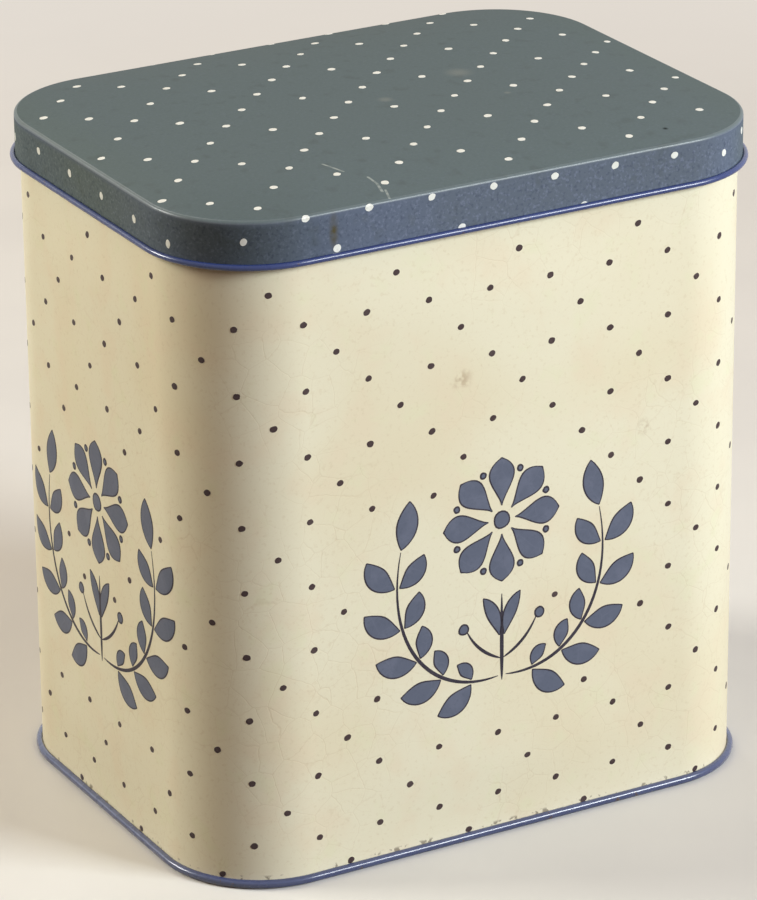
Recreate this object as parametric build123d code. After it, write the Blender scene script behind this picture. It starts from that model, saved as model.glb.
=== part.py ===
from build123d import *
import os

# A slip-lid storage tin of printed tinplate: a rounded rectangular wall, a base
# panel seamed on to it, and a crowned lid whose skirt slips over the wall.
# Millimetres, +Z up. The origin is on the floor under the middle of the tin,
# the long front face looks to -Y.

# Overall sizes
body_width = 200.0         # outside of the wall, left to right
body_depth = 149.0         # outside of the wall, front to back
corner_radius = 32.5       # outside of the wall, seen from above
edge_height = 218.1        # floor to the line where crown and skirt would meet
crown_rise = 4.3           # how far the middle of the lid stands above that line
crown_power = 3.2          # how late the crown falls away towards its edge

# Sheet metal
sheet = 0.28               # tinplate thickness
seam_clearance = 0.1       # between the folded layers of base and wall
lid_clearance = 0.3        # between the rolled rim and the inside of the lid

# Rolled edges
rim_roll = 1.23            # outside diameter of the roll on top of the wall
curl_roll = 2.0            # outside diameter of the roll round the lid's skirt
skirt_drop = 14.0          # crown's edge line down to the middle of the lid's roll
rim_turn = 250             # degrees that the wall's rim is rolled through
curl_turn = 300            # degrees that the lid's edge is rolled through
crease_radius = 2.2        # outside of the bend between crown and skirt

# Seam between base and wall
seam_height = 2.7
seam_reach = 2.1           # how far the seam stands out from the wall
seam_slope = 0.45          # drop of the seam's upper ledge towards the outside
seam_bend = 0.4            # bend radius at the middle of the sheet
hook_height = 1.9          # top of the wall's hook inside the seam
tuck_depth = 0.95          # how far the base's edge is tucked down inside the seam

# Base panel
panel_lift = 3.0           # floor to the top of the base panel near the wall
panel_step = 0.8           # further lift of the middle of the panel
step_inset = 12.0          # wall to the foot of that step
step_run = 2.5             # width of the step's slope

# Side seam, folded inward on the back wall beside the left corner
lock_width = 5.0
lock_layers = 2            # layers of sheet added inside the wall
lock_inset = 12.5          # start of the corner's bend to the middle of the seam
groove_width = 0.5         # fine line that the fold leaves outside
groove_depth = 0.12

# Sizes that follow
half_sheet = sheet / 2
skirt_inset = rim_roll - sheet + lid_clearance
skirt_outset = skirt_inset + sheet
crease_inside = crease_radius - sheet
rim_height = edge_height - crease_radius
curl_height = edge_height - skirt_drop
lock_offset = body_width / 2 - corner_radius - lock_inset
crown_steps = (1.0, 0.96, 0.9, 0.82, 0.72, 0.6, 0.46, 0.3, 0.15)
seam_inner_line = -1.5 * sheet - seam_clearance
seam_outer_line = seam_reach - half_sheet
tuck_line = seam_clearance + half_sheet
hook_line = (tuck_line + seam_outer_line) / 2


def rounded_rectangle(offset, height, factor=1.0):
    """The tin's plan, moved out by offset and then scaled about its middle."""
    width = (body_width + 2 * offset) * factor
    depth = (body_depth + 2 * offset) * factor
    radius = (corner_radius + offset) * factor
    return Pos(0, 0, height) * RectangleRounded(width, depth, radius)


def prism(offset, bottom, top):
    """A solid of the tin's plan between two heights."""
    return extrude(rounded_rectangle(offset, bottom), amount=top - bottom)


def sheet_section(middle_line):
    """The section of a folded sheet, drawn round the line in its middle."""
    return make_face(middle_line.offset_2d(half_sheet, kind=Kind.ARC, side=Side.BOTH))


def carried_round(section):
    """Carries a section round the tin. Its x is measured out from the wall."""
    pieces = []
    sides = [(body_width, body_depth), (body_depth, body_width)] * 2
    for quarter, (across, along) in enumerate(sides):
        end_of_side = along / 2 - corner_radius
        placed = Pos(across / 2, end_of_side, 0) * Plane.XZ.location * section
        side = extrude(placed, amount=2 * end_of_side)
        corner_axis = Axis((across / 2 - corner_radius, end_of_side, 0), (0, 0, 1))
        corner = revolve(placed, axis=corner_axis, revolution_arc=90)
        pieces += [Rot(Z=90 * quarter) * side, Rot(Z=90 * quarter) * corner]
    return pieces[0].fuse(*pieces[1:])


def rolled_edge(roll, height, wall_line, turn):
    """Middle line of a sheet's edge rolled outward from a wall line.

    A positive turn starts downward and a negative one upward.
    """
    radius = (roll - sheet) / 2
    return CenterArc((wall_line + radius, height), radius, 180, turn)


def make_body_wall():
    """The wall: one sheet with a rolled rim, a hooked foot and a lock seam."""
    wall_line = -half_sheet
    foot = sheet + seam_clearance + half_sheet
    sheet_line = FilletPolyline(
        (hook_line, hook_height - half_sheet),
        (hook_line, foot),
        (wall_line, foot),
        (wall_line, rim_height),
        radius=seam_bend,
    )
    rim_line = rolled_edge(rim_roll, rim_height, wall_line, -rim_turn)
    wall = carried_round(sheet_section(Wire(sheet_line.edges() + rim_line.edges())))

    # The lock seam's folded layers lie against the inside of the back wall
    lock_bottom = panel_lift + seam_clearance
    lock_depth = lock_layers * sheet
    lock_height = rim_height - lock_bottom
    lock_place = Pos(-lock_offset, body_depth / 2 - sheet - lock_depth / 2, lock_bottom)
    lock = extrude(Rectangle(lock_width, lock_depth), amount=lock_height)
    groove_place = Pos(-lock_offset - lock_width / 2, body_depth / 2, seam_height + sheet)
    groove = extrude(Rectangle(groove_width, 2 * groove_depth), amount=lock_height - sheet)
    return wall + lock_place * lock - groove_place * groove


def make_base_panel():
    """The base: a stepped panel whose rim is rolled round the wall's hook."""
    panel_line = panel_lift - half_sheet
    top_line = seam_height - half_sheet
    panel_edge = seam_inner_line - 3 * seam_bend
    sheet_line = FilletPolyline(
        (panel_edge, panel_line),
        (seam_inner_line, panel_line),
        (seam_inner_line, half_sheet),
        (seam_outer_line, half_sheet),
        (seam_outer_line, top_line - seam_slope),
        (tuck_line, top_line),
        (tuck_line, top_line - tuck_depth),
        radius=seam_bend,
    )
    rim = carried_round(sheet_section(Wire(sheet_line.edges())))

    # The panel overlaps the rim's own sheet, and its middle is pressed upward
    panel_bottom = panel_lift - sheet
    flat = prism(panel_edge, panel_bottom, panel_lift)
    raised = []
    for rise in (0, sheet):
        foot = rounded_rectangle(-step_inset, panel_bottom + rise)
        head = rounded_rectangle(-step_inset - step_run, panel_bottom + rise + panel_step)
        raised.append(loft([foot, head]))
    return rim + flat + raised[1] - raised[0]


def crown(offset, bottom, edge, bend):
    """A solid from bottom up to the crowned top, with a bend of its own radius."""
    sections = []
    for factor in crown_steps:
        height = edge + crown_rise * (1 - factor ** crown_power)
        sections.append(rounded_rectangle(offset, height, factor))
    body = prism(offset, bottom, edge) + loft(sections)
    rim_edges = [e for e in body.edges() if abs(e.center().Z - edge) < 0.01]
    return fillet(rim_edges, bend)


def make_lid():
    """The lid: one drawn sheet with a crowned top, a skirt and a rolled edge."""
    outside = crown(skirt_outset, curl_height, edge_height, crease_radius)
    inside = crown(skirt_inset, curl_height, edge_height - sheet, crease_inside)
    skirt_line = skirt_inset + half_sheet
    curl = rolled_edge(curl_roll, curl_height, skirt_line, curl_turn)
    return outside - inside + carried_round(sheet_section(Wire(curl.edges())))


def main():
    os.makedirs("parts", exist_ok=True)
    nodes = {
        "body_wall": make_body_wall(),
        "base_panel": make_base_panel(),
        "lid": make_lid(),
    }
    for name, shape in nodes.items():
        solids = shape.solids()
        box = shape.bounding_box()
        print(name, len(solids), "solids", round(shape.volume, 1), "mm3", box.min, box.max)
        export_step(shape, f"parts/{name}.step")


main()
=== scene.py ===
import math
import random

import bmesh
import bpy
from mathutils import Matrix, Vector


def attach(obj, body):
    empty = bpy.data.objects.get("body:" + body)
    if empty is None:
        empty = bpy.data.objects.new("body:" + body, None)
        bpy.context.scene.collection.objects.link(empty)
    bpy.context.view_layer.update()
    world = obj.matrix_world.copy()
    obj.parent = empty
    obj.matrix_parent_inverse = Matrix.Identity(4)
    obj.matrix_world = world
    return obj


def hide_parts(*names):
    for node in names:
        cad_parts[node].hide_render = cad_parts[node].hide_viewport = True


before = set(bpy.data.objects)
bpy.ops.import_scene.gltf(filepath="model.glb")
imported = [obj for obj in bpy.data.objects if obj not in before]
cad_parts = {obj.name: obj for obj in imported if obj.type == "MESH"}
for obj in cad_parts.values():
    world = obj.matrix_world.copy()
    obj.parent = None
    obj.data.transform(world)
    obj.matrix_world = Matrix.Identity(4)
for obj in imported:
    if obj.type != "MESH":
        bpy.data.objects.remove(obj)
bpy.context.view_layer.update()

# Lengths are in millimetres until a mesh is made.
METRES = 0.001

# The tin's plan and sheet, as in the CAD model
half_run = (67.5, 42.0)      # half of the straight part of the front, and of a side
corner_radius = 32.5
sheet = 0.28
half_sheet = sheet / 2

# Heights and rolls of the wall
rim_height = 215.9
rim_roll = 1.23
rim_turn = -250
wall_hook = ((1.10, 1.76), (1.10, 0.52), (-half_sheet, 0.52))
fold_bend = 0.4
seam_bends = (0.4, 0.4, 0.9, 0.8, 0.4)

# The base: its seam's folds, then the pressed panel
seam_line = (
    (-1.72, 2.86), (-0.52, 2.86), (-0.52, 0.14), (1.96, 0.14),
    (1.96, 2.11), (0.24, 2.56), (0.24, 1.61),
)
panel_steps = (
    (-8.0, 2.86), (-11.6, 2.86), (-12.4, 2.97),
    (-14.1, 3.55), (-14.9, 3.66), (-18.0, 3.66),
)
panel_factors = (0.8, 0.55, 0.3, 0.12)

# The lid: crowned top, bend, skirt and roll
edge_height = 218.1
crown_rise = 4.22
crown_power = 3.2
crease_radius = 1.1
skirt_inset = 1.25
skirt_outset = 1.53
curl_height = 204.1
curl_roll = 2.0
curl_turn = 300
crown_factors = (0.12, 0.25, 0.38, 0.5, 0.6, 0.68, 0.75, 0.81, 0.86, 0.9, 0.935, 0.965, 0.985)

# The flat walls stand out a little in their middles
bow = 1.15
bow_margin = 14.0            # how far the bow runs on into the corners
bow_heights = (3.0, 30.0, 176.0, 203.0)

# Side seam on the back wall
lock_middle = 376.1          # along the wall from the front's middle
lock_width = 5.0
lock_depth = 2 * sheet + 0.02
lock_corner = 0.1
lock_overlap = 0.01          # how far the folded layers reach into the wall's own sheet
lock_heights = (3.1, 3.2, *range(20, 201, 15), 215.0, 215.4)
groove_middle = 378.6
groove_width = 0.5
groove_depth = 0.12
groove_edges = (-0.26, -0.24, 0.24, 0.26)
groove_ends = (3, 215.6)

# How finely the sheets' meshes are divided
side_step = 7                # between places along a straight side
side_support = 0.8           # from a corner's end to the nearest place on the side
corner_steps = 22
rim_steps = 22
curl_steps = 30
bend_steps = 10
wall_rows = (1.05, *range(6, 215, 5), rim_height - 0.12)
skirt_rows = (215.3, 211.5, 208.2, curl_height + 0.5, curl_height + 0.15)
on_face = 0.01               # a place nearer than this to a face lies on it

# Printed films, above and below the sheet's face
print_lift = 0.045
print_sink = 0.06
fill_lift = print_lift + 0.03
print_top = rim_height - 0.2  # above this the wall's sheet is bare
print_join = 57.3            # where the wall's print begins and ends, past the back's middle

# Printed dots, and how much they vary
dot_radius = 1.08
lid_dot_radius = 1.2
dot_oval = 0.09
dot_lean = 0.3
dot_lean_change = 0.35
dot_stretch_change = 0.04
dot_lobe = 0.035
dot_phase = 6.28
dot_shift = 0.08
dot_scale = (0.94, 1.06)

# Lattices of the dots: a first place, then the steps across and up
wall_lattice = ((-35.80, 194.32), (10.592, -0.008), (-0.182, 10.608))
lid_lattice = ((-0.61, -11.77), (10.642, -0.07), (0.400, 10.835))
wall_dot_heights = (2.3, 213.5)
sprig_margin = 2.6
groove_margin = 1.6
lowest_lid_dot = curl_height + 0.1

# Drawing the skirt has carried its print lower, most at the right of the front
drawn_low = 1.13
drawn_skew = 0.016
drawn_from = (-2.2, 0.6)     # past the lid's side, where that begins and is complete

arc_run = math.pi / 2 * corner_radius
perimeter = 4 * (half_run[0] + half_run[1] + arc_run)


def around(s, out=0.0):
    """Place and outward direction on the plan, s along the wall from the front's middle."""
    s = (s + half_run[0]) % perimeter
    centre = (-half_run[0], -half_run[1])
    for quarter in range(4):
        run = 2 * half_run[quarter % 2]
        angle = math.radians(90 * quarter - 90)
        along = (-math.sin(angle), math.cos(angle))
        if s <= run:
            centre = (centre[0] + along[0] * s, centre[1] + along[1] * s)
            break
        centre = (centre[0] + along[0] * run, centre[1] + along[1] * run)
        s -= run
        if s <= arc_run:
            angle += s / corner_radius
            break
        s -= arc_run
    normal = (math.cos(angle), math.sin(angle))
    reach = corner_radius + out
    return (centre[0] + normal[0] * reach, centre[1] + normal[1] * reach), normal


def smooth_step(value, low, high):
    """0 below low and 1 above high, with a smooth rise between them."""
    t = max(0.0, min(1.0, (value - low) / (high - low)))
    return t * t * (3 - 2 * t)


def bowed(s, z):
    """How far the wall stands out of its flat plan."""
    apart = abs((s + perimeter / 2) % perimeter - perimeter / 2)
    rise = smooth_step(z, *bow_heights[:2]) * (1 - smooth_step(z, *bow_heights[2:]))
    for quarter in range(3):
        gap = apart - perimeter * quarter / 4
        half = half_run[quarter % 2] + bow_margin
        if abs(gap) <= half:
            return bow * math.cos(math.pi / 2 * gap / half) ** 2 * rise
    return 0.0


def ring_samples(extra=()):
    """Places along the wall at which its rings have a vertex."""
    samples = set(extra)
    start = -half_run[0]
    for quarter in range(4):
        run = 2 * half_run[quarter % 2]
        steps = max(2, round(run / side_step))
        samples.update([start + run * i / steps for i in range(steps + 1)])
        samples.update([start + side_support, start + run - side_support])
        start += run
        samples.update([start + arc_run * i / corner_steps for i in range(corner_steps + 1)])
        start += arc_run
    kept = []
    for s in sorted(x % perimeter for x in samples):
        if not kept or s - kept[-1] > 1e-4:
            kept.append(s)
    return kept


def arc(centre, radius, start, turn, steps):
    """Points on an arc, angles in degrees."""
    angles = [math.radians(start + turn * i / steps) for i in range(steps + 1)]
    return [(centre[0] + radius * math.cos(a), centre[1] + radius * math.sin(a)) for a in angles]


def filleted(corners, radii, steps=6):
    """A polyline with its corners rounded, as a list of points."""
    points = [corners[0]]
    for before, corner, after, radius in zip(corners, corners[1:], corners[2:], radii):
        here = Vector(corner)
        back = (Vector(before) - here).normalized()
        ahead = (Vector(after) - here).normalized()
        half_angle = back.angle(ahead) / 2
        reach = radius / math.tan(half_angle)
        centre = here + (back + ahead).normalized() * radius / math.sin(half_angle)
        first = here + back * reach - centre
        turn = first.angle_signed(here + ahead * reach - centre)
        for i in range(steps + 1):
            points.append(tuple(centre + Matrix.Rotation(-turn * i / steps, 2) @ first))
    return points + [corners[-1]]


def supported(points, near=0.12):
    """Adds a point close to each end of every long run, so that smooth shading stays flat on it."""
    made = [points[0]]
    for a, b in zip(points, points[1:]):
        a, b = Vector(a), Vector(b)
        if (b - a).length > 6 * near:
            step = (b - a).normalized() * near
            made += [tuple(a + step), tuple(b - step)]
        made.append(tuple(b))
    return made


def both_sides(line):
    """The two faces of a sheet drawn round its middle line."""
    left, right = [], []
    for i, point in enumerate(line):
        ahead = Vector(line[min(i + 1, len(line) - 1)])
        behind = Vector(line[max(i - 1, 0)])
        side = (ahead - behind).normalized().orthogonal()
        left.append(tuple(Vector(point) + side * half_sheet))
        right.append(tuple(Vector(point) - side * half_sheet))
    return left, right


def end_cap(line, at_end):
    """Points round the sheet's edge beyond the last or first point of its middle line."""
    tip, inner = (line[-1], line[-2]) if at_end else (line[0], line[1])
    ahead = (Vector(tip) - Vector(inner)).normalized()
    side = ahead.orthogonal()
    points = []
    for turn in (45, 90, 135):
        angle = math.radians(turn)
        way = side * math.cos(angle) + ahead * math.sin(angle)
        points.append(tuple(Vector(tip) + way * half_sheet))
    return points


def cap_after(face, line):
    """Points round the sheet's edge at its line's end, starting beside the last point of a face."""
    cap = end_cap(line, True)
    last = Vector(face[-1])
    if (Vector(cap[0]) - last).length > (Vector(cap[-1]) - last).length:
        return cap[::-1]
    return cap


def rings_at(section, samples):
    """A ring of the tin's plan for each (out, height) of a section."""
    return [[(*around(s, out)[0], height) for s in samples] for out, height in section]


def scaled_ring(ring, factor, height):
    """A ring drawn in towards the tin's middle, at another height."""
    return [(x * factor, y * factor, height) for x, y, _ in ring]


def build(name, verts, faces, materials, marks=None, smooth=True):
    """A mesh object from millimetres, each face with the material that marks gives."""
    mesh = bpy.data.meshes.new(name)
    mesh.from_pydata([tuple(c * METRES for c in v) for v in verts], [], faces)
    for material in materials:
        mesh.materials.append(material)
    for face in mesh.polygons:
        face.use_smooth = smooth
        if marks:
            face.material_index = marks[face.index]
    shape = bmesh.new()
    shape.from_mesh(mesh)
    bmesh.ops.recalc_face_normals(shape, faces=shape.faces)
    shape.to_mesh(mesh)
    shape.free()
    made = bpy.data.objects.new(name, mesh)
    bpy.context.scene.collection.objects.link(made)
    return made


def skin(rings, marks, closed):
    """Faces between successive rings, which meet round a loop or end in a fan at either end."""
    count = len(rings[0])
    verts = [v for ring in rings for v in ring]
    faces, made_marks = [], []
    pairs = list(zip(range(len(rings)), range(1, len(rings))))
    if closed:
        pairs.append((len(rings) - 1, 0))
    for number, (a, b) in enumerate(pairs):
        for i in range(count):
            j = (i + 1) % count
            faces.append((a * count + i, a * count + j, b * count + j, b * count + i))
            made_marks.append(marks[number])
    if not closed:
        for ring, mark, flip in ((0, marks[0], True), (len(rings) - 1, marks[-1], False)):
            height = rings[ring][0][2]
            pole = len(verts)
            verts.append((0, 0, height))
            for i in range(count):
                j = (i + 1) % count
                fan = (ring * count + i, ring * count + j, pole)
                faces.append(fan[::-1] if flip else fan)
                made_marks.append(mark)
    return verts, faces, made_marks


def join(parts):
    """Several (verts, faces, marks) as one."""
    verts, faces, marks = [], [], []
    for more_verts, more_faces, more_marks in parts:
        start = len(verts)
        verts += more_verts
        faces += [tuple(i + start for i in face) for face in more_faces]
        marks += more_marks
    return verts, faces, marks


# Colours and materials

def srgb(red, green, blue):
    """A colour of 0 to 255 as the linear values that a shader takes."""
    made = []
    for value in (red, green, blue):
        value /= 255
        made.append(value / 12.92 if value <= 0.04045 else ((value + 0.055) / 1.055) ** 2.4)
    return (*made, 1.0)


class Finish:
    """Builds one node material step by step, its colour patterns laid over each other."""

    def __init__(self, name, colour, roughness, metallic=0.0):
        self.material = bpy.data.materials.new(name)
        self.material.use_nodes = True
        self.tree = self.material.node_tree
        self.shader = self.tree.nodes["Principled BSDF"]
        self.shader.inputs["Base Color"].default_value = colour
        self.shader.inputs["Roughness"].default_value = roughness
        self.shader.inputs["Metallic"].default_value = metallic
        self.place = self.node("ShaderNodeTexCoord").outputs["Object"]
        self.colour = colour
        self.colour_from = None
        self.height_from = None

    def node(self, kind, **settings):
        made = self.tree.nodes.new(kind)
        for key, value in settings.items():
            setattr(made, key, value)
        return made

    def feed(self, socket, value):
        """Gives a socket a fixed value, or links another node's output to it."""
        if isinstance(value, bpy.types.NodeSocket):
            self.tree.links.new(value, socket)
        else:
            socket.default_value = value

    def maths(self, operation, *values, kind="ShaderNodeMath", out="Value"):
        """One step of arithmetic."""
        made = self.node(kind, operation=operation)
        for socket, value in zip(made.inputs, values):
            self.feed(socket, value)
        return made.outputs[out]

    def vectors(self, operation, *values, out="Vector"):
        """One step of arithmetic on vectors."""
        return self.maths(operation, *values, kind="ShaderNodeVectorMath", out=out)

    def span(self, value, low, high, to_low=0.0, to_high=1.0):
        """Maps a value's range smoothly on to another."""
        made = self.node("ShaderNodeMapRange", interpolation_type="SMOOTHSTEP")
        self.feed(made.inputs["Value"], value)
        keys = ("From Min", "From Max", "To Min", "To Max")
        for key, number in zip(keys, (low, high, to_low, to_high)):
            self.feed(made.inputs[key], number)
        return made.outputs["Result"]

    def stretched(self, scale):
        """The place on the piece, scaled along each axis."""
        return self.vectors("MULTIPLY", self.place, scale)

    def noise(self, size, detail=2.0, place=None, spread=0.5, out="Fac"):
        """A noise whose features are about size millimetres across."""
        made = self.node("ShaderNodeTexNoise")
        self.feed(made.inputs["Vector"], place or self.place)
        self.feed(made.inputs["Scale"], 1000.0 / size)
        self.feed(made.inputs["Detail"], detail)
        self.feed(made.inputs["Roughness"], spread)
        return made.outputs[out]

    def cracks(self, size, width, bend=0.35):
        """Thin lines between cells about size millimetres across."""
        wander = self.noise(size, 3.0, out="Color")
        moved = self.vectors("MULTIPLY_ADD", wander, (bend * size * METRES,) * 3, self.place)
        cells = self.node("ShaderNodeTexVoronoi", feature="DISTANCE_TO_EDGE")
        self.feed(cells.inputs["Vector"], moved)
        self.feed(cells.inputs["Scale"], 1000.0 / size)
        return self.span(cells.outputs["Distance"], 0.0, width / size, 1.0, 0.0)

    def near(self, point, size, stretch=(1.0, 1.0, 1.0)):
        """1 at a point, fading to 0 at size millimetres from it."""
        gap = self.vectors("SUBTRACT", self.place, tuple(c * METRES for c in point))
        length = self.vectors("LENGTH", self.vectors("MULTIPLY", gap, stretch), out="Value")
        return self.span(length, 0.0, size * METRES, 1.0, 0.0)

    def stroke(self, start, end, width):
        """1 along a straight line seen from above, and 0 beside it."""
        first = Vector((*start, 0)) * METRES
        run = Vector((*end, 0)) * METRES - first
        gap = self.vectors("SUBTRACT", self.stretched((1, 1, 0)), first)
        along = self.vectors("DOT_PRODUCT", gap, run / run.length_squared, out="Value")
        share = self.maths("MINIMUM", self.maths("MAXIMUM", along, 0.0), 1.0)
        nearest = self.vectors("MULTIPLY", run, share)
        off = self.vectors("DISTANCE", gap, nearest, out="Value")
        return self.span(off, width / 4 * METRES, width / 2 * METRES, 1.0, 0.0)

    def height_above(self, low, high):
        """0 below one height in millimetres and 1 above another."""
        split = self.node("ShaderNodeSeparateXYZ")
        self.feed(split.inputs[0], self.place)
        return self.span(split.outputs["Z"], low * METRES, high * METRES)

    def tint(self, colour, amount, blend="MIX"):
        """Lays a colour over what is there, as strong as amount says."""
        made = self.node("ShaderNodeMix", data_type="RGBA", blend_type=blend)
        self.feed(made.inputs["Factor"], amount)
        self.feed(made.inputs["A"], self.colour_from or self.colour)
        self.feed(made.inputs["B"], colour)
        self.colour_from = made.outputs["Result"]
        self.feed(self.shader.inputs["Base Color"], self.colour_from)

    def patches(self, colour, size, detail, low, high, amount, spread=0.5):
        """Lays a colour over in patches about size millimetres across."""
        self.tint(colour, self.span(self.noise(size, detail, spread=spread), low, high, 0.0, amount))

    def varnish(self, gloss, weight, roughness):
        """A dull ground under a thin glossy coat."""
        self.shader.inputs["Specular IOR Level"].default_value = gloss
        self.shader.inputs["Coat Weight"].default_value = weight
        self.shader.inputs["Coat Roughness"].default_value = roughness

    def rough(self, value, low, high):
        """Lets the roughness wander between two values."""
        self.feed(self.shader.inputs["Roughness"], self.span(value, 0.3, 0.7, low, high))

    def bump(self, value, height):
        """Adds relief of about height millimetres."""
        made = self.node("ShaderNodeBump")
        self.feed(made.inputs["Height"], value)
        made.inputs["Strength"].default_value = 1.0
        made.inputs["Distance"].default_value = height * METRES
        if self.height_from:
            self.feed(made.inputs["Normal"], self.height_from)
        self.height_from = made.outputs["Normal"]
        self.feed(self.shader.inputs["Normal"], self.height_from)


wall_stains = (((-14, -75.5, 156), 5), ((52, -75, 127), 4))


def cream_print():
    """Cream ground of the printed wall under yellowed, finely crackled varnish."""
    made = Finish("cream_print", srgb(238, 233, 208), 0.42)
    made.patches(srgb(231, 219, 186), 70, 2, 0.42, 0.68, 0.5)
    made.patches(srgb(236, 221, 194), 17, 3, 0.48, 0.7, 0.4)
    made.patches(srgb(232, 233, 198), 11, 3, 0.55, 0.72, 0.35)
    made.patches(srgb(212, 198, 166), 1.3, 2, 0.56, 0.75, 0.25)
    places = made.span(made.noise(45, 2), 0.36, 0.64, 0.1, 1.0)
    wide = made.maths("MULTIPLY", made.cracks(9.5, 0.2), places)
    fine = made.maths("MULTIPLY", made.cracks(4.6, 0.14), places)
    made.tint(srgb(184, 152, 112), made.maths("MULTIPLY", wide, 0.12))
    made.tint(srgb(190, 162, 124), made.maths("MULTIPLY", fine, 0.06))
    # Brown stains, and small chips along the seam
    for point, size in wall_stains:
        broken = made.span(made.noise(2.2, 3), 0.4, 0.65)
        spot = made.maths("MULTIPLY", made.near(point, size), broken)
        made.tint(srgb(150, 112, 72), made.maths("MULTIPLY", spot, 0.45))
    low = made.maths("SUBTRACT", 1.0, made.height_above(3.0, 4.1))
    chips = made.maths("MULTIPLY", low, made.span(made.noise(2.6, 3), 0.59, 0.66))
    made.tint(srgb(92, 78, 66), made.maths("MULTIPLY", chips, 0.65))
    made.rough(made.noise(20, 3), 0.36, 0.48)
    made.bump(made.noise(38, 1), 0.12)
    made.bump(wide, -0.02)
    made.varnish(0.08, 0.14, 0.28)
    return made.material


# Wear on the lid: scratches seen from above, smudges, a chip and a rusty run; and painted shade on
# the skirt's front-left corner
lid_scratches = (
    ((-44.8, -46.1), (-42.0, -53.8), 0.95),
    ((-37.3, -60.4), (-37.0, -65.4), 1.0),
    ((-37.0, -65.4), (-38.2, -70.7), 1.15),
    ((-36.8, -70.2), (-38.3, -75.1), 0.95),
)
lid_smudges = (((0.3, -4.4, 222.3), 3.4), ((33.6, 7.7, 222.2), 6.0), ((36.5, -17.5, 222.2), 1.7))
lid_chip = (63.9, -65.9, 219.6)
skirt_corner_shade = (-86.0, -70.0, 211.0)
# Middle of the painted shade on the skirt's front-left corner
skirt_stain = (-57.6, -76.2, 211.8)
flat_spot = (1, 1, 0.2)      # stretch of a spot that reaches far up and down


def slate_print(name, gloss, coat, coat_roughness):
    """Slate-blue ground of the printed lid, finely speckled and rubbed."""
    made = Finish(name, srgb(100, 111, 131), 0.5)
    made.patches(srgb(100, 109, 116), 60, 2, 0.4, 0.65, 0.5)
    # The top is tinted greyer and less blue than the skirt
    made.tint(srgb(100, 114, 118), made.height_above(217.0, 218.0))
    flecks = made.maths("SUBTRACT", 1.0, made.height_above(215.5, 217.8))
    flecks = made.maths("MULTIPLY_ADD", flecks, 0.8, 0.2)
    pale = made.span(made.noise(0.9, 3), 0.5, 0.7, 0.0, 0.6)
    dark = made.span(made.noise(1.1, 3), 0.5, 0.72, 0.0, 0.5)
    made.tint(srgb(122, 132, 154), made.maths("MULTIPLY", pale, flecks))
    made.tint(srgb(70, 78, 98), made.maths("MULTIPLY", dark, flecks))
    made.patches(srgb(84, 92, 92), 6, 4, 0.56, 0.75, 0.3)
    # The skirt is tinted yellower towards its left and right sides, on the left more so towards the
    # back
    split = made.node("ShaderNodeSeparateXYZ")
    made.feed(split.inputs[0], made.place)
    leftward = made.span(split.outputs["X"], -0.080, -0.099, 0.0, 1.0)
    backward = made.span(split.outputs["Y"], -0.055, 0.0, 0.25, 1.0)
    leftward = made.maths("MULTIPLY", leftward, backward)
    rightward = made.span(split.outputs["X"], 0.080, 0.099, 0.0, 0.8)
    yellowed = made.maths("MULTIPLY", made.maths("MAXIMUM", leftward, rightward), flecks)
    made.tint((0.97, 1.0, 0.78, 1), yellowed, "MULTIPLY")
    # Painted shade on the skirt's front-left corner, which faces away from the lamps
    corner_shade = made.maths("MULTIPLY", made.near(skirt_corner_shade, 44, flat_spot), flecks)
    made.tint((0.62, 0.64, 0.60, 1), corner_shade, "MULTIPLY")
    # A rusty run down the front of the skirt, and scratches, smudges and a chip on the crown
    stain = made.near(skirt_stain, 7, (3.2, 1.0, 0.9))
    stain = made.maths("MULTIPLY", stain, made.span(made.noise(2.4, 3), 0.3, 0.55, 0.5, 1.0))
    made.tint(srgb(86, 80, 54), made.maths("MULTIPLY", stain, 0.95))
    broken = made.span(made.noise(1.6, 2), 0.36, 0.56, 0.35, 0.9)
    for start, end, width in lid_scratches:
        scratch = made.maths("MULTIPLY", made.stroke(start, end, width), broken)
        made.tint(srgb(160, 170, 168), scratch)
    for point, size in lid_smudges:
        smudge = made.maths("MULTIPLY", made.near(point, size, flat_spot), 0.45)
        made.tint(srgb(140, 146, 142), smudge)
    made.tint(srgb(38, 42, 44), made.near(lid_chip, 1.3))
    made.rough(made.noise(9, 4), 0.42, 0.55)
    made.bump(made.noise(0.8, 2), 0.015)
    made.bump(made.noise(45, 1), 0.12)
    made.varnish(gloss, coat, coat_roughness)
    return made.material


def blue_enamel(name, colour, pale, chips, coat, coat_roughness):
    """Glossy enamel of the rolled edges, chipped down to dark tinplate in small spots."""
    made = Finish(name, colour, 0.26)
    made.patches(pale, 14, 3, 0.45, 0.7, 0.45)
    made.patches(srgb(60, 62, 80), 1.2, 3, 0.6, 0.75, 0.4)
    spots = made.span(made.noise(2.6, 4, spread=0.6), 0.70 - chips, 0.73 - chips)
    made.tint(srgb(84, 62, 50), made.maths("MULTIPLY", spots, 0.9))
    made.rough(made.noise(5, 3), 0.2, 0.34)
    made.bump(made.noise(2.5, 2), 0.03)
    made.varnish(0.3, coat, coat_roughness)
    return made.material


def tinplate():
    """Bare tinplate of the inside, with a fine grain, a dull bloom and a few rust specks."""
    made = Finish("tinplate", srgb(196, 194, 186), 0.36, 0.9)
    grain = made.noise(0.5, 3, made.stretched((1.0, 1.0, 0.04)))
    made.tint(srgb(160, 158, 152), made.span(grain, 0.4, 0.7, 0.0, 0.5))
    made.patches(srgb(176, 168, 148), 26, 4, 0.45, 0.65, 0.6)
    made.patches(srgb(118, 82, 54), 3.0, 5, 0.70, 0.76, 0.8, spread=0.65)
    made.rough(made.noise(12, 4), 0.28, 0.5)
    made.bump(grain, 0.01)
    return made.material


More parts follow.
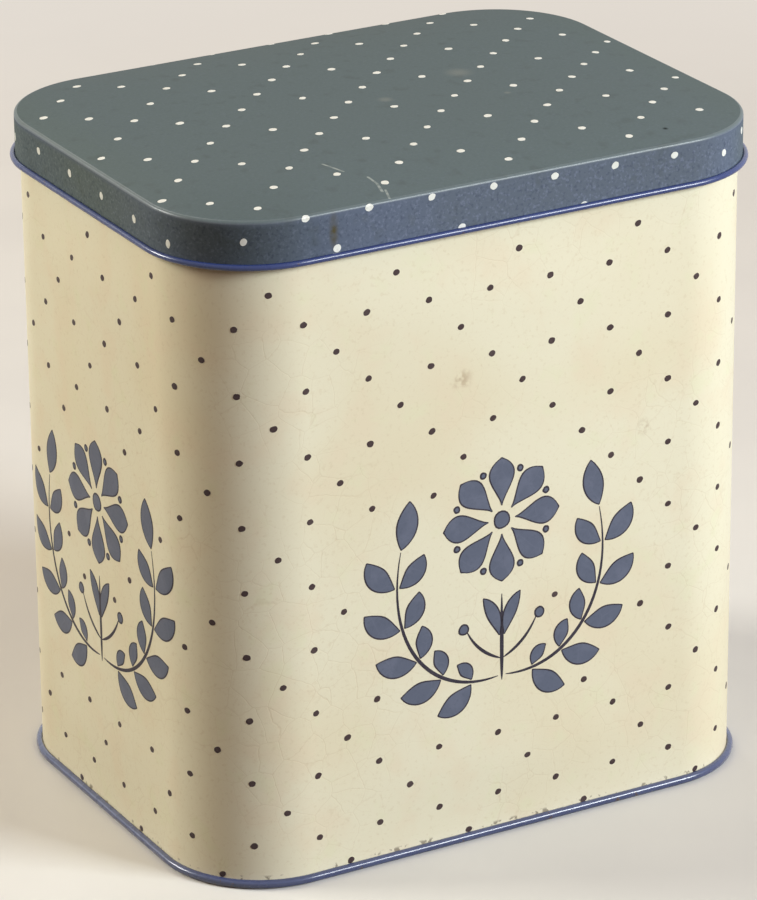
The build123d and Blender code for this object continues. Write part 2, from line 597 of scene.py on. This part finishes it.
def printed_ink(name, colour, pale, dark):
    """Ink of the printed dots and leaves, a little uneven under the varnish."""
    made = Finish(name, colour, 0.4)
    made.patches(pale, 7, 3, 0.46, 0.7, 0.45)
    made.patches(dark, 1.1, 3, 0.5, 0.75, 0.4)
    made.tint(pale, made.maths("MULTIPLY", made.cracks(9, 0.3), 0.2))
    made.rough(made.noise(6, 3), 0.38, 0.5)
    made.varnish(0.1, 0.22, 0.28)
    return made.material


wall_cream = cream_print()
# Hands have polished the bend between crown and skirt
slate_zones = [
    slate_print("slate_crown", 0.0, 0.08, 0.2),
    slate_print("slate_bend", 0.0, 0.8, 0.36),
    slate_print("slate_skirt", 0.0, 0.08, 0.2),
]
roll_blue = blue_enamel("roll_blue", srgb(44, 60, 116), srgb(60, 76, 130), 0.02, 0.5, 0.26)
seam_blue = blue_enamel("seam_blue", srgb(59, 70, 112), srgb(74, 86, 126), 0.04, 1.0, 0.22)
bare_tin = tinplate()
dot_ink = printed_ink("dot_ink", srgb(72, 58, 60), srgb(94, 82, 82), srgb(54, 44, 46))
leaf_ink = printed_ink("leaf_ink", srgb(98, 105, 124), srgb(114, 120, 140), srgb(88, 95, 112))
line_ink = printed_ink("line_ink", srgb(56, 52, 64), srgb(74, 70, 80), srgb(46, 42, 52))
dot_cream = printed_ink("dot_cream", srgb(238, 241, 236), srgb(223, 225, 216), srgb(205, 206, 192))


# The wall

def wall_sheet():
    """The wall's own sheet, carried round the plan, with the fold of its side seam."""
    mid_of_wall = -half_sheet
    roll_radius = (rim_roll - sheet) / 2
    roll_centre = (mid_of_wall + roll_radius, rim_height)
    foot = filleted([*wall_hook, (mid_of_wall, rim_height)], (fold_bend, fold_bend))
    upright = [(mid_of_wall, z) for z in wall_rows]
    line = foot[:-1] + upright + arc(roll_centre, roll_radius, 180, rim_turn, rim_steps)
    left, right = both_sides(line)
    loop = left + end_cap(line, True) + right[::-1] + end_cap(line, False)
    samples = ring_samples([groove_middle + gap for gap in groove_edges])
    rings, marks = [], []
    for out, height in loop:
        ring = [(*around(s, out + bowed(s, height))[0], height) for s in samples]
        if abs(out) < on_face and groove_ends[0] < height < groove_ends[1]:
            for i, s in enumerate(samples):
                if abs(s - groove_middle) < groove_width / 2:
                    ring[i] = (*around(s, out + bowed(s, height) - groove_depth)[0], height)
        rings.append(ring)
    for (out, height), (next_out, _) in zip(loop, loop[1:] + loop[:1]):
        printed = min(out, next_out) > -2 * on_face and height < print_top
        marks.append(0 if printed else 1)
    return skin(rings, marks, True)


def lock_strip():
    """The folded layers of the side seam, flat against the wall's inside."""
    half = lock_width / 2
    shallow = -lock_depth + lock_corner
    outline = [(-half, 0), (-half, shallow), (-half + lock_corner, -lock_depth)]
    outline += [(half - lock_corner, -lock_depth), (half, shallow), (half, 0)]
    verts = []
    for height in lock_heights:
        for along, out in outline:
            s = lock_middle + along
            place, _ = around(s, out - sheet + lock_overlap + bowed(s, height))
            verts.append((*place, height))
    count = len(outline)
    faces = []
    for row in range(len(lock_heights) - 1):
        a, b = row * count, (row + 1) * count
        for i in range(count):
            j = (i + 1) % count
            faces.append((a + i, a + j, b + j, b + i))
    faces.append(tuple(range(count))[::-1])
    top = (len(lock_heights) - 1) * count
    faces.append(tuple(range(top, top + count)))
    return verts, faces, [1] * len(faces)


verts, faces, marks = join([wall_sheet(), lock_strip()])
wall = build("wall_sheet", verts, faces, [wall_cream, bare_tin], marks)
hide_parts("body_wall")
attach(wall, "tin")


# The base

def base_sheet():
    """The base: pressed panel, and the seam folded round the wall's hook."""
    line = supported(filleted(seam_line, seam_bends))
    left, right = both_sides(line)
    samples = ring_samples()
    faces_of_panel = []
    for shift in (half_sheet, -half_sheet):
        steps = rings_at([(out, height + shift) for out, height in panel_steps[::-1]], samples)
        height = panel_steps[-1][1] + shift
        middle = [scaled_ring(steps[0], factor, height) for factor in panel_factors[::-1]]
        faces_of_panel.append(middle + steps)
    upper, lower = faces_of_panel
    sides = [left, right] if left[0][1] > right[0][1] else [right, left]
    top, bottom = (rings_at(side, samples) for side in sides)
    cap = rings_at(cap_after(sides[0], line), samples)
    rings = upper + top + cap + bottom[::-1] + lower[::-1]
    inside = len(upper) + len(top)
    marks = [0 if i < inside else 1 for i in range(len(rings))]
    return skin(rings, marks, False)


verts, faces, marks = base_sheet()
base = build("base_sheet", verts, faces, [bare_tin, seam_blue], marks)
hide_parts("base_panel")
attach(base, "tin")


# The lid

def lid_profile(s, out, edge, bend):
    """Points from the crown's middle over the bend to the skirt at one place round the lid."""
    (x, y), (nx, ny) = around(s, out)
    support = x * nx + y * ny
    slope = math.atan(crown_rise * crown_power / support)
    reach = bend * math.tan((math.pi / 2 - slope) / 2)
    top = 1 - reach * math.cos(slope) / support
    points = []
    for factor in (*crown_factors, 1.0):
        g = factor * top
        points.append((x * g, y * g, edge + crown_rise * (1 - g ** crown_power)))
    for i in range(1, bend_steps + 1):
        angle = (math.pi / 2 - slope) * (1 - i / bend_steps)
        inset = bend * (1 - math.cos(angle))
        points.append((x - nx * inset, y - ny * inset, edge - reach + bend * math.sin(angle)))
    return points


def lid_sheet():
    """The lid: crown, bend, skirt and a roll turned outward."""
    samples = ring_samples()
    faces_of_sheet = []
    for out, depth in ((skirt_outset, 0), (skirt_inset, sheet)):
        columns = [lid_profile(s, out, edge_height - depth, crease_radius - depth) for s in samples]
        faces_of_sheet.append([list(ring) for ring in zip(*columns)])
    outer, inner = faces_of_sheet
    roll_radius = (curl_roll - sheet) / 2
    roll_centre = (skirt_inset + half_sheet + roll_radius, curl_height)
    line = arc(roll_centre, roll_radius, 180, curl_turn, curl_steps)
    left, right = both_sides(line)
    sides = [left, right] if left[0][0] > right[0][0] else [right, left]
    skirt_out = rings_at([(skirt_outset, z) for z in skirt_rows], samples)
    skirt_in = rings_at([(skirt_inset, z) for z in skirt_rows], samples)
    roll_out, roll_in = (rings_at(side, samples) for side in sides)
    cap = rings_at(cap_after(sides[0], line), samples)
    rings = outer + skirt_out + roll_out + cap + roll_in[::-1] + skirt_in[::-1] + inner[::-1]
    # Crown, bend and skirt, each up to a ring, and the blue of the roll and the inside
    zone_ends = (len(crown_factors), len(outer) - 1, len(outer) + len(skirt_out))
    marks = [sum(i >= end for end in zone_ends) for i in range(len(rings))]
    return skin(rings, marks, False)


verts, faces, marks = lid_sheet()
lid = build("lid_sheet", verts, faces, [*slate_zones, roll_blue], marks)
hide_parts("lid")
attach(lid, "lid_body")


# Printing: thin closed films of ink that follow the sheet

def wall_place(s, z, lift):
    """A place on the wall's outside, s along it and z up."""
    (x, y), _ = around(s, lift + bowed(s, z))
    return (x, y, z)


def nearest_side(x, y):
    """How far inside the lid's nearest side a place lies, and the way to that side."""
    reach = corner_radius + skirt_outset
    flat = (max(-half_run[0], min(half_run[0], x)), max(-half_run[1], min(half_run[1], y)))
    apart = Vector((x - flat[0], y - flat[1]))
    if apart.length > 1e-6:
        return reach - apart.length, apart.normalized()
    ways = (
        (half_run[0] - abs(x), Vector((math.copysign(1, x), 0))),
        (half_run[1] - abs(y), Vector((0, math.copysign(1, y)))),
    )
    gap, way = min(ways, key=lambda pair: pair[0])
    return gap + reach, way


search_steps = 40            # halvings that find a place's height on the crown


def lid_place(x, y, lift):
    """A place on the lid's outside, from where it lay on the flat sheet before it was drawn."""
    inset, way = nearest_side(x, y)
    edge = Vector((x, y)) + way * inset
    support = edge.dot(way)
    slope = math.atan(crown_rise * crown_power / support)
    run = crease_radius * math.tan((math.pi / 2 - slope) / 2)
    tangent = run * math.cos(slope)
    if inset >= tangent:
        low, high = 0.0, 1.0
        for _ in range(search_steps):
            g = (low + high) / 2
            if g > 0 and inside_outline(x / g, y / g):
                high = g
            else:
                low = g
        height = edge_height + crown_rise * (1 - high ** crown_power)
        return (x, y, height + lift)
    excess = (tangent - inset) / math.cos(slope)
    turn = math.pi / 2 - slope
    angle = turn - excess / crease_radius
    if angle >= 0:
        depth = crease_radius - (crease_radius + lift) * math.cos(angle)
        place = edge - way * depth
        return (place.x, place.y, edge_height - run + (crease_radius + lift) * math.sin(angle))
    place = edge + way * lift
    return (place.x, place.y, edge_height - run + angle * crease_radius)


def inside_outline(x, y):
    """Whether a place lies inside the lid's outline, seen from above."""
    gap = math.hypot(max(0.0, abs(x) - half_run[0]), max(0.0, abs(y) - half_run[1]))
    return gap <= corner_radius + skirt_outset


def blob(centre, radius, randomness, points=16, oval=0.0):
    """Outline of a printed dot, a little out of round, and wider than tall by twice oval."""
    stretch = 1 + oval + randomness.uniform(-dot_stretch_change, dot_stretch_change)
    lean = dot_lean + randomness.uniform(-dot_lean_change, dot_lean_change)
    lobes = []
    for count in (3, 4, 5):
        lobes.append((count, randomness.uniform(0, dot_lobe), randomness.uniform(0, dot_phase)))
    made = []
    for i in range(points):
        angle = 2 * math.pi * i / points
        r = radius * (1 + sum(size * math.cos(k * angle + at) for k, size, at in lobes))
        a, b = r * math.cos(angle - lean) * stretch, r * math.sin(angle - lean) / stretch
        made.append((centre[0] + a * math.cos(lean) - b * math.sin(lean),
                     centre[1] + a * math.sin(lean) + b * math.cos(lean)))
    return made


def dot_film(centre, outline, place, lift=print_lift):
    """A closed film over a round outline."""
    count = len(outline)
    middle = [((a + centre[0]) / 2, (b + centre[1]) / 2) for a, b in outline]
    verts = [place(*centre, lift), place(*centre, -print_sink)]
    rings = ((middle, lift), (outline, lift), (outline, -print_sink), (middle, -print_sink))
    for ring, height in rings:
        verts += [place(a, b, height) for a, b in ring]
    faces = []
    for i in range(count):
        j = (i + 1) % count
        faces.append((0, 2 + i, 2 + j))
        for row in range(3):
            a, b = 2 + row * count, 2 + (row + 1) * count
            faces.append((a + i, b + i, b + j, a + j))
        last = 2 + 3 * count
        faces.append((1, last + j, last + i))
    return verts, faces, [0] * len(faces)


def leaf_film(left, right, place, lift, across=5):
    """A closed film between the two long edges of a leaf."""
    rows = []
    for a, b in zip(left, right):
        row = []
        for i in range(across + 1):
            row.append((a[0] + (b[0] - a[0]) * i / across, a[1] + (b[1] - a[1]) * i / across))
        rows.append(row)
    count = across + 1
    verts = [place(*p, height) for height in (lift, -print_sink) for row in rows for p in row]
    under = len(rows) * count
    faces = []
    for r in range(len(rows) - 1):
        for i in range(across):
            a = r * count + i
            faces.append((a, a + 1, a + 1 + count, a + count))
            faces.append((under + a + count, under + a + 1 + count, under + a + 1, under + a))
        a, b = r * count, r * count + across
        faces.append((a, a + count, under + a + count, under + a))
        faces.append((b + count, b, under + b, under + b + count))
    for i in range(across):
        a, b = i, (len(rows) - 1) * count + i
        faces.append((a + 1, a, under + a, under + a + 1))
        faces.append((b, b + 1, under + b + 1, under + b))
    return verts, faces, [0] * len(faces)


# The sprig is drawn round its own middle, x to the right and y up

sprig_middle = 91.5
line_width = 0.5
flower_middle = Vector((0.0, 15.5))
branch_knots = ((1.5, -37.0), (24.0, -40.0), (42.0, -20.0), (35.5, 12.0))
branch_steps = 30
leaf_places = (0.13, 0.31, 0.49, 0.68, 0.86)
leaf_lean = math.radians(42)
outer_leaf = 15.5
inner_leaves = (9.0, 10.5, 12.0, 13.5, 14.0)
petals = 8
petal_reach = (5.0, 20.5)
berry_reach = 17.2
tendril = ((0.6, -31.0), (12.5, -19.5))
tendril_berry = (13.6, -18.6)
bud_leaf = ((0.9, -23.0), (6.5, -9.8))
stem = ((0, -38.5), (0, -9.5))
sprig_reach = 60             # no part of a sprig lies farther than this from its middle


def spine(start, end, bend, steps=16):
    """A curved line whose middle is moved sideways."""
    a, b = Vector(start), Vector(end)
    side = Vector((-(b - a).y, (b - a).x)).normalized()
    control = (a + b) / 2 + side * bend * 2
    points = []
    for i in range(steps + 1):
        t = i / steps
        points.append(a * (1 - t) ** 2 + control * 2 * t * (1 - t) + b * t ** 2)
    return points


def leaf_edges(points, width, fullest, grow):
    """Both edges of a leaf whose widest place is at fullest, 0 to 1 along it."""
    power = math.log(0.5) / math.log(fullest)
    left, right = [], []
    for i, point in enumerate(points):
        t = i / (len(points) - 1)
        half = width / 2 * max(0.0, math.sin(math.pi * t ** power)) ** 0.75 + grow
        ahead = points[min(i + 1, len(points) - 1)] - points[max(i - 1, 0)]
        ahead.normalize()
        shift = ahead * grow * (-1 if i == 0 else 1 if i == len(points) - 1 else 0)
        side = Vector((-ahead.y, ahead.x))
        if i in (0, len(points) - 1):
            half = max(0.12, grow * 0.8)
        left.append(tuple(point + shift + side * half))
        right.append(tuple(point + shift - side * half))
    return left, right


def branch_point(t, side):
    """A place on a sprig's curved branch and the way it grows there."""
    knots = [Vector((side * x, y)) for x, y in branch_knots]
    weights = ((1 - t) ** 3, 3 * t * (1 - t) ** 2, 3 * t * t * (1 - t), t ** 3)
    place = sum((knot * weight for knot, weight in zip(knots, weights)), Vector((0, 0)))
    slopes = (3 * (1 - t) ** 2, 6 * t * (1 - t), 3 * t * t)
    way = sum(((b - a) * k for a, b, k in zip(knots, knots[1:], slopes)), Vector((0, 0)))
    return place, way.normalized()


def sprig_leaves():
    """Leaves, petals and stems of one sprig: (points along the middle, width, fullest)."""
    made = []
    for i in range(petals):
        angle = 2 * math.pi / petals * i
        way = Vector((math.sin(angle), math.cos(angle)))
        foot, tip = (flower_middle + way * reach for reach in petal_reach)
        made.append((spine(foot, tip, 0.0), 8.8, 0.66))
    for side in (-1, 1):
        branch = [branch_point(i / branch_steps, side)[0] for i in range(branch_steps + 1)]
        made.append((branch, 0.95, 0.4))
        tip, way = branch_point(1.0, side)
        made.append((spine(tip + way * 1.0, tip + way * 16.5, side * 0.6), 7.2, 0.5))
        for t, inner in zip(leaf_places, inner_leaves):
            foot, way = branch_point(t, side)
            across = Vector((way.y, -way.x)) * side
            for lean, length in ((1, outer_leaf), (-1, inner)):
                aim = way * math.cos(leaf_lean) + across * lean * math.sin(leaf_lean)
                leaf = spine(foot + aim * 1.5, foot + aim * length, -side * lean * length / 12)
                made.append((leaf, 0.6 * length ** 0.9, 0.52))
        foot, tip = ((side * x, y) for x, y in tendril)
        made.append((spine(foot, tip, -side * 1.6), 0.8, 0.4))
        foot, tip = ((side * x, y) for x, y in bud_leaf)
        made.append((spine(foot, tip, side * 0.9), 4.4, 0.55))
    made.append((spine(*stem, 0.0), 1.1, 0.4))
    return made


def sprig_dots():
    """Round parts of one sprig: (centre, radius)."""
    made = [(flower_middle, 2.8)]
    for i in range(petals):
        angle = 2 * math.pi / petals * (i + 0.5)
        way = Vector((math.sin(angle), math.cos(angle)))
        made.append((flower_middle + way * berry_reach, 1.0))
    for side in (-1, 1):
        made.append((Vector((side * tendril_berry[0], tendril_berry[1])), 1.7))
    return made


def sprig_films(s_middle):
    """One sprig on the wall, as its filled shapes and the darker line round them."""
    def place(x, y, lift):
        """A place of the sprig, carried on to the wall."""
        return wall_place(s_middle + x, sprig_middle + y, lift)

    rand = random.Random(7)
    fills, lines = [], []
    for points, width, fullest in sprig_leaves():
        fine = width < 1.5
        edges = leaf_edges(points, width, fullest, 0.0 if fine else -line_width / 2)
        rim = leaf_edges(points, width, fullest, line_width / 4 if fine else line_width / 2)
        lines.append(leaf_film(*rim, place, print_lift))
        if not fine:
            fills.append(leaf_film(*edges, place, fill_lift))
    for centre, radius in sprig_dots():
        outline = blob(centre, radius + line_width / 2, rand)
        lines.append(dot_film(tuple(centre), outline, place, print_lift))
        share = 1 - line_width / radius
        outline = [tuple((q - c) * share + c for q, c in zip(p, centre)) for p in outline]
        fills.append(dot_film(tuple(centre), outline, place, fill_lift))
    return join(fills), join(lines)


face_middles = {
    "front": 0.0,
    "right": perimeter / 4,
    "back": perimeter / 2,
    "left": perimeter * 3 / 4,
}
for face_name, s_middle in face_middles.items():
    films = zip(("sprig_", "sprig_lines_"), sprig_films(s_middle), (leaf_ink, line_ink))
    for name, (verts, faces, _), ink in films:
        piece = build(name + face_name, verts, faces, [ink], smooth=False)
        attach(piece, "tin")


# Places that the dots leave free for a sprig
taken = []
for points, width, _ in sprig_leaves():
    taken += [(p, width / 2) for p in points]
taken += [(c, r) for c, r in sprig_dots()]


def clear_of_sprigs(s, z):
    """Whether a dot here would stand clear of every sprig."""
    for s_middle in face_middles.values():
        x = (s - s_middle + perimeter / 2) % perimeter - perimeter / 2
        y = z - sprig_middle
        if abs(x) > sprig_reach or abs(y) > sprig_reach:
            continue
        if any(math.hypot(x - p[0], y - p[1]) < r + sprig_margin for p, r in taken):
            return False
    return True


def lattice_place(lattice, m, n):
    """The place of a lattice m steps across and n steps up."""
    first, across, up = lattice
    return first[0] + m * across[0] + n * up[0], first[1] + n * up[1] + m * across[1]


def printed_dot(x, y, radius, rand, place):
    """One dot's film, a little off its place, size and shape."""
    centre = (x + rand.uniform(-dot_shift, dot_shift), y + rand.uniform(-dot_shift, dot_shift))
    outline = blob(centre, radius * rand.uniform(*dot_scale), rand, oval=dot_oval)
    return dot_film(centre, outline, place)


def wall_dots():
    """Dots on a lattice turned by 45 degrees, every fourth one left out."""
    rand = random.Random(11)
    films = []
    for n in range(-22, 6):
        for m in range(-30, 36):
            if (m + n) % 2:
                continue
            if (m + n) // 2 % 2 and (m - n) // 2 % 2:
                continue
            s, z = lattice_place(wall_lattice, m, n)
            if not -perimeter / 2 <= s - print_join < perimeter / 2:
                continue
            if not wall_dot_heights[0] <= z <= wall_dot_heights[1]:
                continue
            if not clear_of_sprigs(s, z) or abs((s % perimeter) - groove_middle) < groove_margin:
                continue
            films.append(printed_dot(s, z, dot_radius, rand, wall_place))
    return join(films)


def lid_dots():
    """The lid's dots, laid out on the flat sheet and carried over the bend."""
    rand = random.Random(23)
    films = []
    for n in range(-12, 13):
        for m in range(-14, 15):
            if (m + n) % 2:
                continue
            if (m % 4, n % 4) in ((1, 1), (3, 3)):
                continue
            x, y = lattice_place(lid_lattice, m, n)
            inset, way = nearest_side(x, y)
            drawn = smooth_step(-inset, *drawn_from) * (drawn_low - drawn_skew * x * way.y)
            x += way.x * drawn
            y += way.y * drawn
            if lid_place(x, y, 0)[2] < lowest_lid_dot:
                continue
            films.append(printed_dot(x, y, lid_dot_radius, rand, lid_place))
    return join(films)


verts, faces, _ = wall_dots()
piece = build("wall_dots", verts, faces, [dot_ink], smooth=False)
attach(piece, "tin")
verts, faces, _ = lid_dots()
piece = build("lid_dots", verts, faces, [dot_cream], smooth=False)
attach(piece, "lid_body")


# Camera, floor and light

camera_place = (-0.70750, -1.26691, 0.69891)
camera_turn = 29.149
camera_tilt = -22.313
camera_roll = -0.574
camera_lens = 196.145
camera_sensor = 36
camera_reach = 50

turn, tilt, roll = (math.radians(a) for a in (camera_turn, camera_tilt, camera_roll))
forward = Vector((math.sin(turn) * math.cos(tilt), math.cos(turn) * math.cos(tilt), math.sin(tilt)))
level = Vector((math.cos(turn), -math.sin(turn), 0))
upright = level.cross(forward)
right = level * math.cos(roll) + upright * math.sin(roll)
up = right.cross(forward)
camera = bpy.data.objects.new("camera", bpy.data.cameras.new("camera"))
bpy.context.scene.collection.objects.link(camera)
camera.matrix_world = Matrix((
    (right.x, up.x, -forward.x, camera_place[0]),
    (right.y, up.y, -forward.y, camera_place[1]),
    (right.z, up.z, -forward.z, camera_place[2]),
    (0, 0, 0, 1),
))
camera.data.lens = camera_lens
camera.data.sensor_width = camera_sensor
camera.data.sensor_fit = "AUTO"
camera.data.clip_end = camera_reach
bpy.context.scene.camera = camera


lamp_target = Vector((0, 0, 0.11))
lamp_distance = 2.2
warm_white = (1.0, 0.98, 0.95)


def area_light(name, direction, size, power, colour):
    """A soft square lamp that looks at the middle of the tin."""
    way = Vector(direction).normalized()
    data = bpy.data.lights.new(name, "AREA")
    data.shape = "SQUARE"
    data.size = size
    data.energy = power
    data.color = colour
    made = bpy.data.objects.new(name, data)
    made.location = lamp_target + way * lamp_distance
    made.rotation_mode = "QUATERNION"
    made.rotation_quaternion = (-way).to_track_quat("-Z", "Y")
    bpy.context.scene.collection.objects.link(made)
    return made


area_light("key", (0.536, -0.738, 0.40), size=0.8, power=54.4, colour=(0.926, 0.982, 1.0))
fill = area_light("fill", (-0.745, 0.541, 0.46), size=0.9, power=39.1, colour=(1.0, 0.974, 0.841))
fill.visible_glossy = False
area_light("back", (0.15, 0.74, 0.60), size=0.4, power=3.5, colour=warm_white)
# A long strip at the fill's place that shows only as a gleam on the rolls and the lid's bend
gleam = area_light("gleam", (-0.71, 0.545, 0.45), size=0.9, power=40, colour=warm_white)
gleam.data.shape = "RECTANGLE"
gleam.data.size_y = 0.15
gleam.visible_diffuse = False


def seen_rays(tree):
    """1 for rays from the camera, a gloss or a glass, and 0 for light that is only gathered."""
    rays = tree.nodes.new("ShaderNodeLightPath")
    seen = rays.outputs["Is Camera Ray"]
    for kind in ("Is Glossy Ray", "Is Transmission Ray"):
        either = tree.nodes.new("ShaderNodeMath")
        either.operation = "MAXIMUM"
        tree.links.new(seen, either.inputs[0])
        tree.links.new(rays.outputs[kind], either.inputs[1])
        seen = either.outputs[0]
    return seen


def mixed(tree, share, first, second):
    """The first shader where share is 0 and the second where it is 1."""
    mix = tree.nodes.new("ShaderNodeMixShader")
    tree.links.new(share, mix.inputs[0])
    tree.links.new(first.outputs[0], mix.inputs[1])
    tree.links.new(second.outputs[0], mix.inputs[2])
    return mix


def coloured(tree, kind, colour):
    """A shader node of one colour."""
    made = tree.nodes.new(kind)
    made.inputs["Color"].default_value = colour
    return made


# The room gives a dim warm light all round, and looks pale
world = bpy.data.worlds.new("studio")
bpy.context.scene.world = world
world.use_nodes = True
world_tree = world.node_tree
world_tree.nodes.clear()
output = world_tree.nodes.new("ShaderNodeOutputWorld")
soft = coloured(world_tree, "ShaderNodeBackground", (1.0, 0.65, 0.46, 1))
soft.inputs["Strength"].default_value = 0.267
pale = coloured(world_tree, "ShaderNodeBackground", (0.9, 0.9, 0.9, 1))
room = mixed(world_tree, seen_rays(world_tree), soft, pale)
world_tree.links.new(room.outputs[0], output.inputs[0])

floor_reach = 4000
floor_fade = (0.5, 0.95)     # metres from the tin's middle
corners = [(x * floor_reach, y * floor_reach, 0) for x, y in ((-1, -1), (1, -1), (1, 1), (-1, 1))]
floor = build("floor", corners, [(0, 1, 2, 3)], [], smooth=False)
floor.location.z = -0.0002
finish = Finish("floor_finish", srgb(226, 226, 224), 0.8)
finish.patches(srgb(219, 219, 218), 120, 3, 0.4, 0.6, 0.5)
finish.shader.inputs["Specular IOR Level"].default_value = 0.1
# Far from the tin the floor passes into a plain pale backdrop
backdrop = coloured(finish.tree, "ShaderNodeEmission", srgb(228, 221, 212))
faded = finish.span(finish.vectors("LENGTH", finish.place, out="Value"), *floor_fade)
seen_floor = mixed(finish.tree, faded, finish.shader, backdrop)
# The floor is as pale as it looks to the camera, and throws back less light on the tin
dim = coloured(finish.tree, "ShaderNodeBsdfDiffuse", (0.04, 0.034, 0.028, 1))
whole_floor = mixed(finish.tree, seen_rays(finish.tree), dim, seen_floor)
finish.feed(finish.tree.nodes["Material Output"].inputs[0], whole_floor.outputs[0])
floor.data.materials.append(finish.material)

bpy.context.scene.view_settings.view_transform = "Standard"
